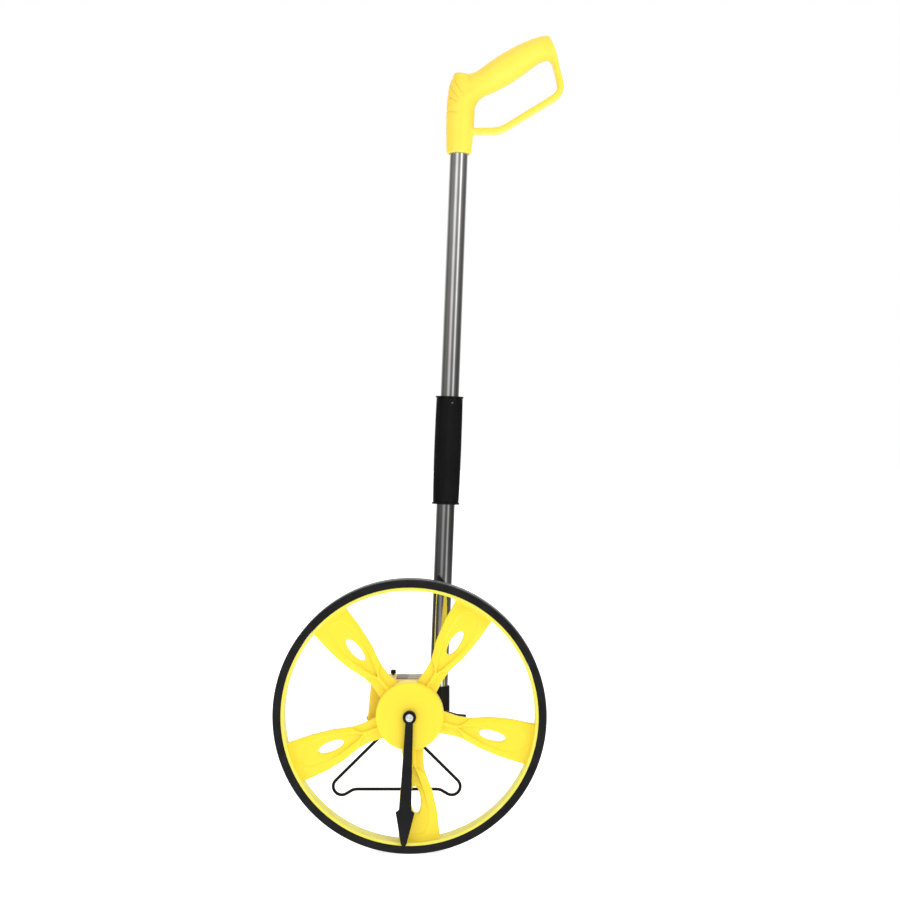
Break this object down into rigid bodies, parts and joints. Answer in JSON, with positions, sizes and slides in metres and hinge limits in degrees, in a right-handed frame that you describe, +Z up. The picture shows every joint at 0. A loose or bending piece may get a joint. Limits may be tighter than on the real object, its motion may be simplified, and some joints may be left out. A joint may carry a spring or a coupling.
{
  "type": "measuring wheel",
  "caption": "Folding measuring wheel: tyred five-spoke wheel, start pointer, geared digit counter in a case, reset lever, wire kickstand, sleeve-locked pole and guarded grip.",
  "frame": {"origin": "centre of the axle's flat front end, on the wheel's axis", "axes": "+Z up, +Y along the wheel's axle from the pointer towards the counter case, +X in the wheel's plane towards the side that the pole leans to"},
  "size_m": [0.3418, 0.085, 0.9634],
  "materials": {
    "yellow_moulding": "glossy injection-moulded yellow plastic",
    "yellow_grip": "yellow moulded handle plastic",
    "yellow_case": "yellow moulded case plastic",
    "black_plastic": "satin black plastic",
    "sleeve_plastic": "ribbed black sleeve plastic",
    "tread": "black rubber tyre",
    "chrome_tube": "polished bright tube",
    "steel": "plain machined steel",
    "clear_window": "clear plastic window",
    "digit_plastic": "black digit drums with white numbers",
    "fast_digit": "red fastest drum with white numbers",
    "gear_plastic": "natural acetal gears",
    "black_wire": "black coated steel wire"
  },
  "bodies": {
    "frame": {"housing_front": "yellow_case", "housing_rear": "yellow_case", "window": "clear_window", "window_knob": "black_plastic", "side_screw": "steel", "housing_screw_1": "steel", "housing_screw_2": "steel", "housing_screw_3": "steel", "housing_screw_4": "steel", "axle": "steel", "axle_nut": "steel", "axle_sleeve": "steel", "pointer": "black_plastic", "pointer_spacer": "steel", "counter_frame": "steel", "transfer_shaft": "steel", "pole_bracket": "black_plastic", "bracket_screw_1": "steel", "bracket_screw_2": "steel", "lower_tube": "chrome_tube", "lower_knuckle": "steel", "hinge_pin": "steel", "lever_pin": "steel", "lever_spring": "steel", "kickstand_clip_1": "black_plastic", "kickstand_clip_2": "black_plastic"},
    "wheel_assembly": {"wheel": "yellow_moulding", "tyre": "tread", "hub_cap": "yellow_moulding", "bearing_front": "steel", "bearing_rear": "steel", "bearing_spacer": "steel", "drive_gear": "gear_plastic"},
    "counter_drive": {"counter_shaft": "steel", "input_gear": "gear_plastic", "digit_wheel_1": "fast_digit"},
    "digit_2": {"digit_wheel_2": "digit_plastic"},
    "digit_3": {"digit_wheel_3": "digit_plastic"},
    "digit_4": {"digit_wheel_4": "digit_plastic"},
    "digit_5": {"digit_wheel_5": "digit_plastic"},
    "pinion_1": {"transfer_pinion_1": "gear_plastic"},
    "pinion_2": {"transfer_pinion_2": "gear_plastic"},
    "pinion_3": {"transfer_pinion_3": "gear_plastic"},
    "pinion_4": {"transfer_pinion_4": "gear_plastic"},
    "upper_pole": {"upper_knuckle": "steel", "upper_tube": "chrome_tube", "grip": "yellow_grip", "grip_screw": "steel"},
    "sliding_sleeve": {"sleeve": "sleeve_plastic", "sleeve_rivet": "steel"},
    "lever": {"reset_lever": "black_plastic"},
    "stand": {"kickstand": "black_wire"}
  },
  "joints": [
    {"name": "wheel_spin", "type": "hinge", "parent": "frame", "child": "wheel_assembly", "pos_m": [0, 0.02, 0], "axis": [0, 1, 0], "continuous": true},
    {"name": "counter_spin", "type": "hinge", "parent": "frame", "child": "counter_drive", "pos_m": [-0.013, 0.062, 0.02017], "axis": [0, 1, 0], "continuous": true},
    {"name": "digit_2_spin", "type": "hinge", "parent": "frame", "child": "digit_2", "pos_m": [-0.013, 0.062, 0.02017], "axis": [0, 1, 0], "continuous": true},
    {"name": "digit_3_spin", "type": "hinge", "parent": "frame", "child": "digit_3", "pos_m": [-0.013, 0.062, 0.02017], "axis": [0, 1, 0], "continuous": true},
    {"name": "digit_4_spin", "type": "hinge", "parent": "frame", "child": "digit_4", "pos_m": [-0.013, 0.062, 0.02017], "axis": [0, 1, 0], "continuous": true},
    {"name": "digit_5_spin", "type": "hinge", "parent": "frame", "child": "digit_5", "pos_m": [-0.013, 0.062, 0.02017], "axis": [0, 1, 0], "continuous": true},
    {"name": "pinion_1_spin", "type": "hinge", "parent": "frame", "child": "pinion_1", "pos_m": [-0.0268, 0.062, 0.0105], "axis": [0, 1, 0], "continuous": true},
    {"name": "pinion_2_spin", "type": "hinge", "parent": "frame", "child": "pinion_2", "pos_m": [-0.0268, 0.062, 0.0105], "axis": [0, 1, 0], "continuous": true},
    {"name": "pinion_3_spin", "type": "hinge", "parent": "frame", "child": "pinion_3", "pos_m": [-0.0268, 0.062, 0.0105], "axis": [0, 1, 0], "continuous": true},
    {"name": "pinion_4_spin", "type": "hinge", "parent": "frame", "child": "pinion_4", "pos_m": [-0.0268, 0.062, 0.0105], "axis": [0, 1, 0], "continuous": true},
    {"name": "pole_fold", "type": "hinge", "parent": "frame", "child": "upper_pole", "pos_m": [0.04213, 0.0695, 0.25682], "axis": [-0.9993, 0, 0.0379], "range_deg": [0, 165]},
    {"name": "sleeve_slide", "type": "slide", "parent": "upper_pole", "child": "sliding_sleeve", "axis": [0.0379, 0, 0.9993], "range_m": [0, 0.1445]},
    {"name": "lever_press", "type": "hinge", "parent": "frame", "child": "lever", "pos_m": [0.0133, 0.0428, 0.0135], "axis": [0, 1, 0], "range_deg": [0, 12], "stiffness_Nm_per_rad": 0.05, "springref_deg": -14.32},
    {"name": "kickstand_swing", "type": "hinge", "parent": "frame", "child": "stand", "pos_m": [-0.0171, 0.069, -0.0334], "axis": [1, 0, 0], "range_deg": [0, 50]}
  ],
  "couplings": [
    {"joint": "counter_spin", "follows": "wheel_spin", "ratio": -1},
    {"joint": "digit_2_spin", "follows": "wheel_spin", "ratio": -0.1},
    {"joint": "digit_3_spin", "follows": "wheel_spin", "ratio": -0.01},
    {"joint": "digit_4_spin", "follows": "wheel_spin", "ratio": -0.001},
    {"joint": "digit_5_spin", "follows": "wheel_spin", "ratio": -0.0001},
    {"joint": "pinion_1_spin", "follows": "wheel_spin", "ratio": 0.25},
    {"joint": "pinion_2_spin", "follows": "wheel_spin", "ratio": 0.025},
    {"joint": "pinion_3_spin", "follows": "wheel_spin", "ratio": 0.0025},
    {"joint": "pinion_4_spin", "follows": "wheel_spin", "ratio": 0.00025},
    {"joint": "sleeve_slide", "follows": "pole_fold", "m_per_rad": 0.05}
  ]
}
